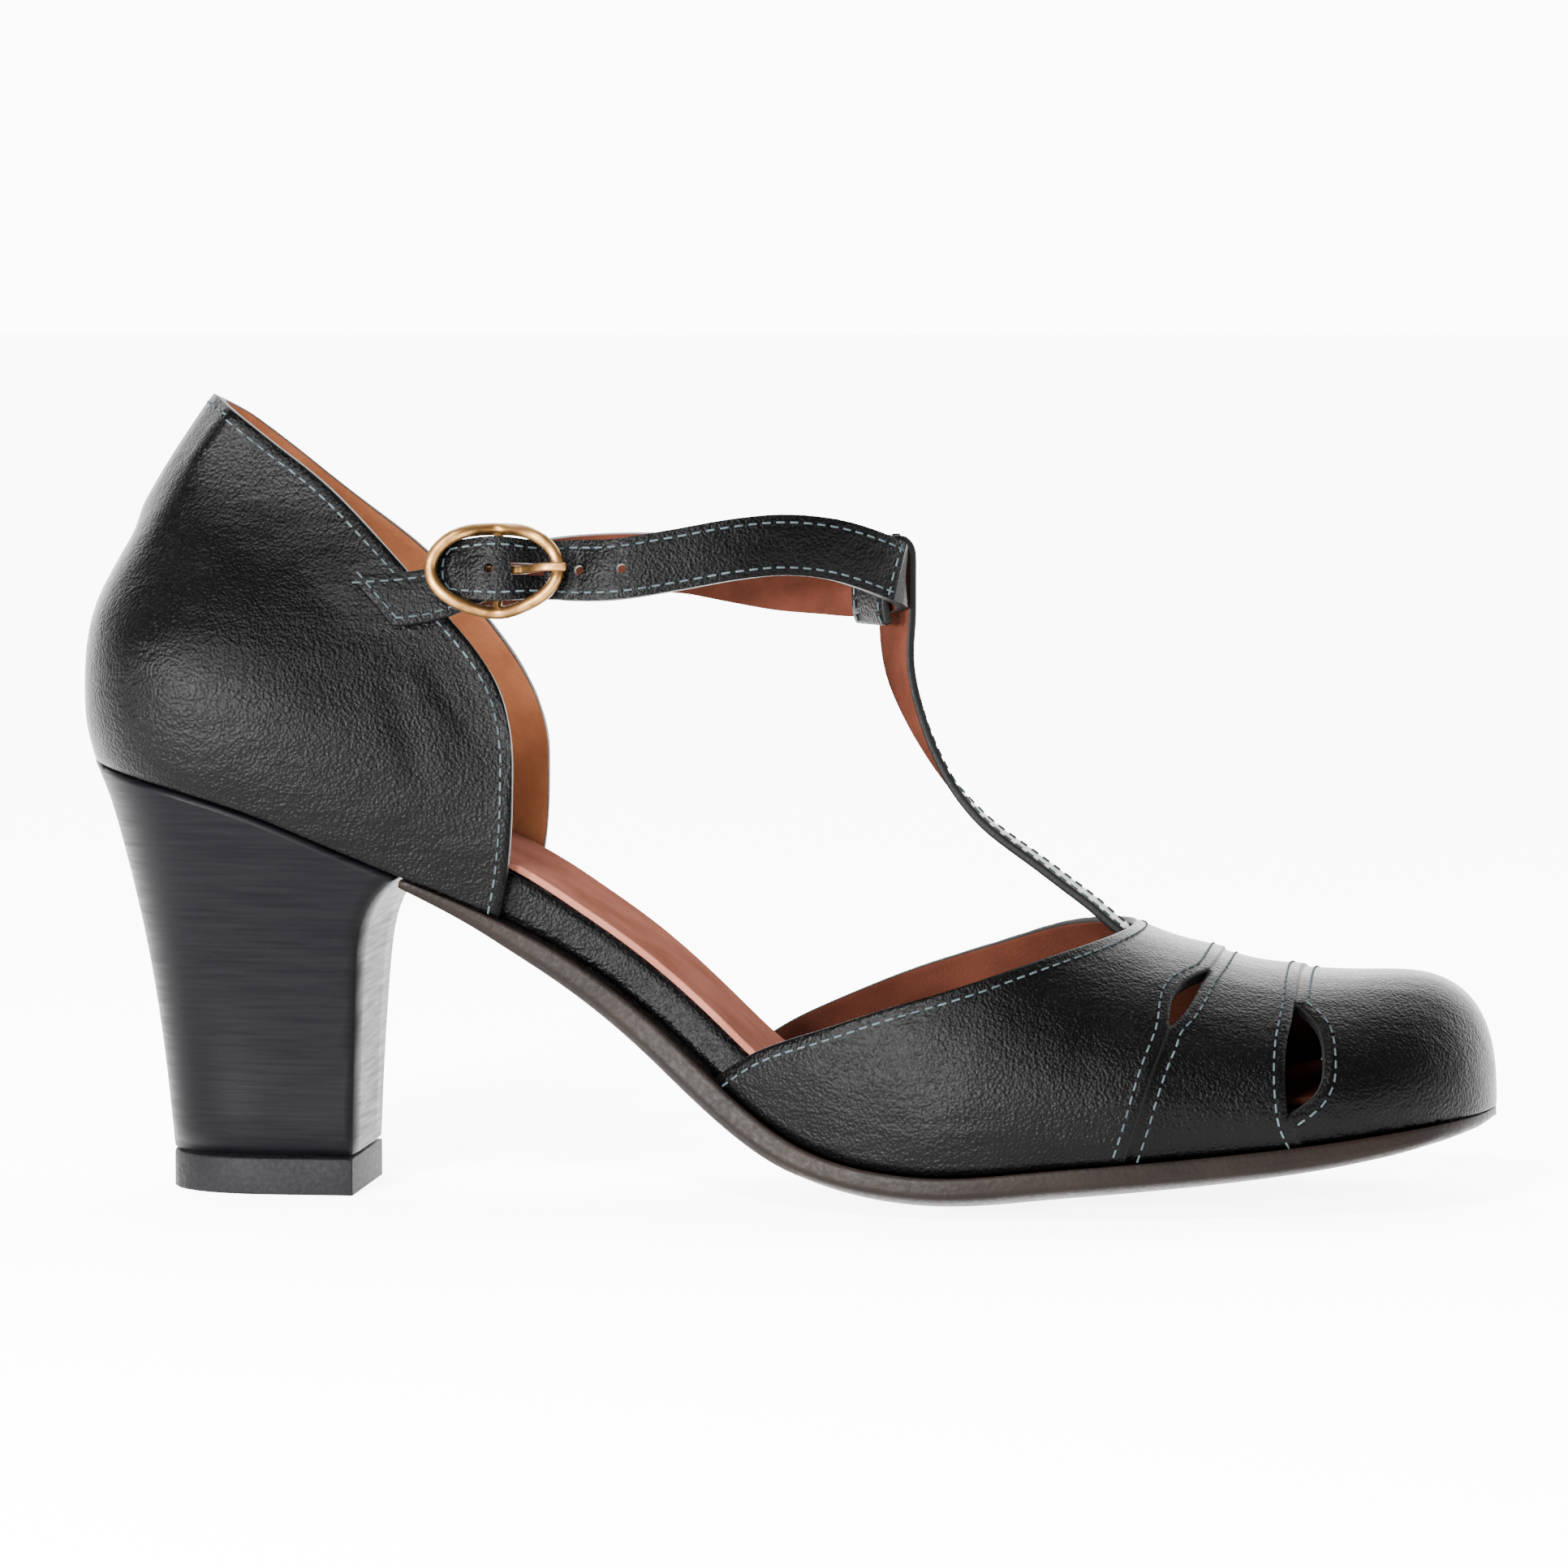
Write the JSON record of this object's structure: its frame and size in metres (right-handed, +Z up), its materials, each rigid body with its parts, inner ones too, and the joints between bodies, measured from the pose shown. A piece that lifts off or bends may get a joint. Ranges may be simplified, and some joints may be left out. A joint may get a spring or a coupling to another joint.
{
  "type": "t-strap shoe",
  "caption": "Right-foot leather T-strap shoe with an open waist, cut-out vamp panels, an ankle strap with an oval buckle and a high block heel.",
  "frame": {"origin": "middle of the underside of the part's box, on the floor", "axes": "+X along the shoe to the toe, +Y to the inner side of the foot, +Z up"},
  "size_m": [0.238, 0.0802, 0.1341],
  "materials": {
    "upper_leather": "smooth black calf, soft sheen",
    "sock": "smooth salmon-tan sock leather, matte",
    "outsole": "stained and burnished sole leather",
    "heel": "lacquered black, fine level streaks",
    "top_lift": "matte hard rubber",
    "buckle": "antique brass, satin"
  },
  "bodies": {
    "root": {"outsole": "outsole", "heel_block": "heel", "top_lift": "top_lift", "footbed": "upper_leather", "insole": "sock", "quarter": "upper_leather", "vamp": "upper_leather", "ankle_strap": "upper_leather", "t_strap": "upper_leather", "buckle_tab": "upper_leather", "buckle_frame": "buckle", "buckle_prong": "buckle"}
  },
  "joints": []
}
